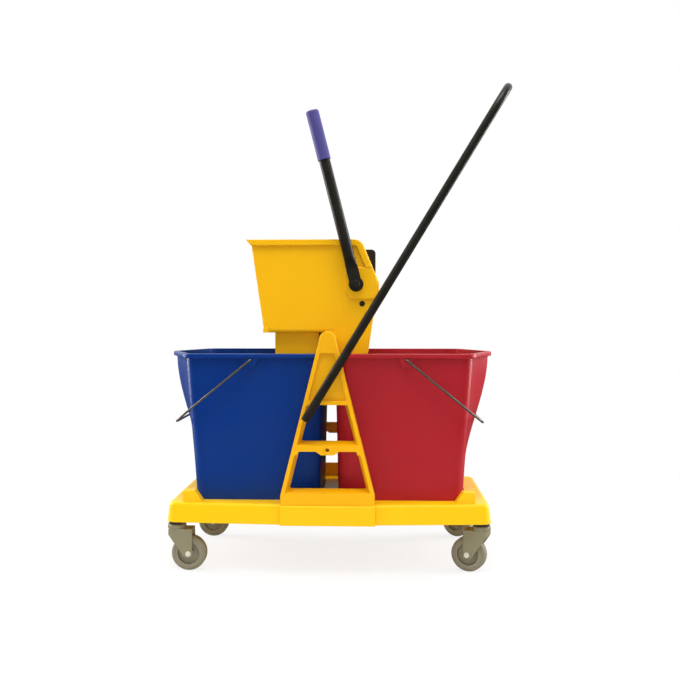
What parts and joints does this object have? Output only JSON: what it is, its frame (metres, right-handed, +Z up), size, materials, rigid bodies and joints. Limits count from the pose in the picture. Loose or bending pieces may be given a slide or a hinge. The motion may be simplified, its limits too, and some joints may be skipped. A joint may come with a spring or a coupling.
{
  "type": "mop bucket with wringer",
  "caption": "Wheeled trolley with a blue and a red bucket, a lever-press mop wringer hung between A-shaped side frames and a bent push handle.",
  "frame": {"origin": "on the floor, under the middle of the base", "axes": "+X along the base towards the red bucket, +Y to the far A-frame, +Z up"},
  "size_m": [0.7573, 0.436, 1.043],
  "materials": {
    "yellow_plastic": "moulded polypropylene, satin",
    "blue_plastic": "moulded polypropylene, satin",
    "red_plastic": "moulded polypropylene, satin",
    "black_tube": "black powder coat",
    "black_plastic": "moulded, matt",
    "violet_grip": "dipped soft vinyl",
    "bail_wire": "drawn wire, dark",
    "caster_grey": "moulded, warm grey",
    "tyre_grey": "thermoplastic rubber",
    "steel": "zinc plated"
  },
  "bodies": {
    "trolley": {"base_tray": "yellow_plastic", "a_frame_front": "yellow_plastic", "a_frame_back": "yellow_plastic", "a_frame_screws": "steel", "red_bucket": "red_plastic", "blue_bucket": "blue_plastic", "hanger_pegs": "steel", "push_handle": "black_tube", "handle_plugs": "black_plastic", "handle_screws": "steel", "caster_stem_near_left": "steel", "caster_stem_near_right": "steel", "caster_stem_far_left": "steel", "caster_stem_far_right": "steel"},
    "red_bail": {"red_bail": "bail_wire"},
    "blue_bail": {"blue_bail": "bail_wire"},
    "wringer": {"wringer_hopper": "yellow_plastic", "drain_grid": "yellow_plastic", "shaft_bushes": "black_plastic", "stop_pin": "steel"},
    "press": {"press_shaft": "steel", "press_arms": "black_plastic", "press_plate": "yellow_plastic", "wringer_lever": "black_tube", "lever_grip": "violet_grip", "lever_bolt": "steel", "far_crank": "black_plastic"},
    "fork_near_left": {"caster_fork_near_left": "caster_grey", "caster_axle_near_left": "steel"},
    "wheel_near_left": {"wheel_core_near_left": "caster_grey", "tyre_near_left": "tyre_grey"},
    "fork_near_right": {"caster_fork_near_right": "caster_grey", "caster_axle_near_right": "steel"},
    "wheel_near_right": {"wheel_core_near_right": "caster_grey", "tyre_near_right": "tyre_grey"},
    "fork_far_left": {"caster_fork_far_left": "caster_grey", "caster_axle_far_left": "steel"},
    "wheel_far_left": {"wheel_core_far_left": "caster_grey", "tyre_far_left": "tyre_grey"},
    "fork_far_right": {"caster_fork_far_right": "caster_grey", "caster_axle_far_right": "steel"},
    "wheel_far_right": {"wheel_core_far_right": "caster_grey", "tyre_far_right": "tyre_grey"}
  },
  "joints": [
    {"name": "red_bail_swing", "type": "hinge", "parent": "trolley", "child": "red_bail", "pos_m": [0.16725, 0, 0.455], "axis": [0, -1, 0], "range_deg": [0, 125]},
    {"name": "blue_bail_swing", "type": "hinge", "parent": "trolley", "child": "blue_bail", "pos_m": [-0.16725, 0, 0.455], "axis": [0, 1, 0], "range_deg": [0, 100]},
    {"name": "wringer_lift", "type": "slide", "parent": "trolley", "child": "wringer", "axis": [0, 0, 1], "range_m": [0, 0.3]},
    {"name": "lever_press", "type": "hinge", "parent": "wringer", "child": "press", "pos_m": [0.059, 0, 0.618], "axis": [0, 1, 0], "range_deg": [0, 60]},
    {"name": "swivel_near_left", "type": "hinge", "parent": "trolley", "child": "fork_near_left", "pos_m": [-0.3285, -0.155, 0.09], "axis": [0, 0, 1], "continuous": true},
    {"name": "roll_near_left", "type": "hinge", "parent": "fork_near_left", "child": "wheel_near_left", "pos_m": [-0.3015, -0.155, 0.0375], "axis": [0, 1, 0], "continuous": true},
    {"name": "swivel_near_right", "type": "hinge", "parent": "trolley", "child": "fork_near_right", "pos_m": [0.3285, -0.155, 0.09], "axis": [0, 0, 1], "continuous": true},
    {"name": "roll_near_right", "type": "hinge", "parent": "fork_near_right", "child": "wheel_near_right", "pos_m": [0.30347, -0.14489, 0.0375], "axis": [-0.3746, -0.9272, 0], "continuous": true},
    {"name": "swivel_far_left", "type": "hinge", "parent": "trolley", "child": "fork_far_left", "pos_m": [-0.3285, 0.155, 0.09], "axis": [0, 0, 1], "continuous": true},
    {"name": "roll_far_left", "type": "hinge", "parent": "fork_far_left", "child": "wheel_far_left", "pos_m": [-0.3015, 0.155, 0.0375], "axis": [0, 1, 0], "continuous": true},
    {"name": "swivel_far_right", "type": "hinge", "parent": "trolley", "child": "fork_far_right", "pos_m": [0.3285, 0.155, 0.09], "axis": [0, 0, 1], "continuous": true},
    {"name": "roll_far_right", "type": "hinge", "parent": "fork_far_right", "child": "wheel_far_right", "pos_m": [0.30638, 0.17049, 0.0375], "axis": [-0.5736, -0.8192, 0], "continuous": true}
  ]
}
